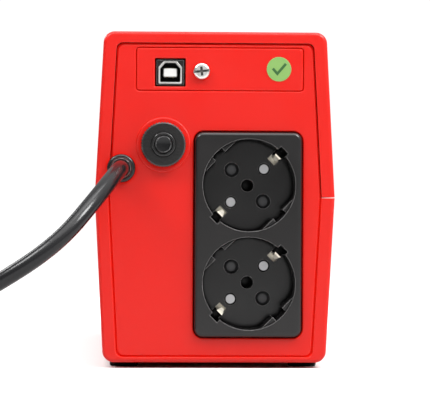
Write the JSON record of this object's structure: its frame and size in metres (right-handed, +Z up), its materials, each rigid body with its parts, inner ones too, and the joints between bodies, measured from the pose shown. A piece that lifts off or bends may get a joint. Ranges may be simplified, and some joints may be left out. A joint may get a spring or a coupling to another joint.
{
  "type": "uninterruptible power supply",
  "caption": "Compact upright power supply housing with earthed sockets, a data port, a resettable breaker and a fixed cord.",
  "frame": {"origin": "on the ground under the middle of the unit, measured without the cord", "axes": "+Z up, -Y out of the socket side, +Y out of the front panel, +X to the right when facing the sockets"},
  "size_m": [0.2731, 0.3525, 0.1414],
  "materials": {
    "red_plastic": "red moulded ABS, fine satin texture",
    "black_plastic": "black moulded thermoplastic, satin with a fine texture",
    "black_gloss": "polished black plastic",
    "breaker_black": "black phenolic, semi-gloss",
    "cord_jacket": "black extruded cord jacket, satin",
    "rubber_black": "black rubber feet",
    "bright_steel": "nickel plated, polished",
    "zinc_steel": "zinc plated sheet steel",
    "brass_contact": "stamped brass, lightly plated",
    "gold_contact": "gold flashed contacts",
    "white_plastic": "white moulded plastic",
    "grey_rivet": "dull aluminium rivet heads",
    "shutter_grey": "dark grey moulded shutters",
    "label_green": "green paper sticker, semi-gloss",
    "lens_clear": "frosted clear indicator lens",
    "laminated_steel": "varnished transformer laminations",
    "winding_tape": "yellow insulating tape over the winding",
    "bobbin_black": "black glass-filled bobbin",
    "battery_grey": "dark grey battery case",
    "tin_terminal": "tinned terminals",
    "circuit_board": "green solder-masked circuit board",
    "sink_aluminium": "extruded aluminium",
    "component_black": "moulded component bodies",
    "component_blue": "shrink-sleeved capacitors",
    "wire_red": "insulated leads",
    "ribbon_grey": "flat grey cable"
  },
  "bodies": {
    "housing": {"base_shell": "red_plastic", "upper_cover": "red_plastic", "front_panel": "red_plastic", "front_fascia": "black_gloss", "button_ring": "bright_steel", "indicator_lenses": "lens_clear", "front_board": "circuit_board", "feet": "rubber_black", "case_screws": "zinc_steel", "port_plate": "red_plastic", "port_screw": "bright_steel", "port_bracket": "zinc_steel", "test_label": "label_green", "usb_insulator": "black_plastic", "usb_shell": "bright_steel", "usb_tongue": "white_plastic", "usb_contacts": "gold_contact", "breaker_body": "breaker_black", "breaker_neck": "breaker_black", "breaker_nut": "breaker_black", "breaker_terminals": "tin_terminal", "outlet_front": "black_plastic", "outlet_back": "black_plastic", "outlet_rivets": "grey_rivet", "outlet_screws": "zinc_steel", "earth_clips": "brass_contact", "live_contacts": "brass_contact", "neutral_contacts": "brass_contact", "cord_bushing": "black_plastic", "cord_lead": "cord_jacket", "cord_coil": "cord_jacket", "cord_tail": "cord_jacket", "cord_tie": "white_plastic", "plug_body": "cord_jacket", "plug_pins": "bright_steel", "plug_earth_strips": "bright_steel", "transformer_core": "laminated_steel", "transformer_bobbin": "bobbin_black", "transformer_winding": "winding_tape", "transformer_bracket": "zinc_steel", "battery_case": "battery_grey", "battery_terminals": "tin_terminal", "battery_strap": "zinc_steel", "chassis_screws": "zinc_steel", "main_board": "circuit_board", "board_screws": "zinc_steel", "heat_sink": "sink_aluminium", "power_transistors": "component_black", "capacitors": "component_blue", "relays": "component_black", "buzzer": "component_black", "battery_wires": "wire_red", "mains_wires": "component_black", "signal_cable": "ribbon_grey"},
    "power_key": {"power_button": "black_plastic"},
    "reset_plunger": {"reset_button": "black_gloss"},
    "upper_shutter": {"shutter_upper": "shutter_grey"},
    "lower_shutter": {"shutter_lower": "shutter_grey"}
  },
  "joints": [
    {"name": "power_button_press", "type": "slide", "parent": "housing", "child": "power_key", "axis": [0, -1, 0], "range_m": [0, 0.0015], "stiffness_N_per_m": 400, "springref_m": -0.0005},
    {"name": "reset_button_trip", "type": "slide", "parent": "housing", "child": "reset_plunger", "axis": [0, -1, 0], "range_m": [0, 0.003]},
    {"name": "upper_shutter_turn", "type": "hinge", "parent": "housing", "child": "upper_shutter", "pos_m": [0.0143, -0.1186, 0.07695], "axis": [0, -1, 0], "range_deg": [0, 42], "stiffness_Nm_per_rad": 0.004},
    {"name": "lower_shutter_turn", "type": "hinge", "parent": "housing", "child": "lower_shutter", "pos_m": [0.0143, -0.1186, 0.03565], "axis": [0, -1, 0], "range_deg": [0, 42], "stiffness_Nm_per_rad": 0.004}
  ]
}
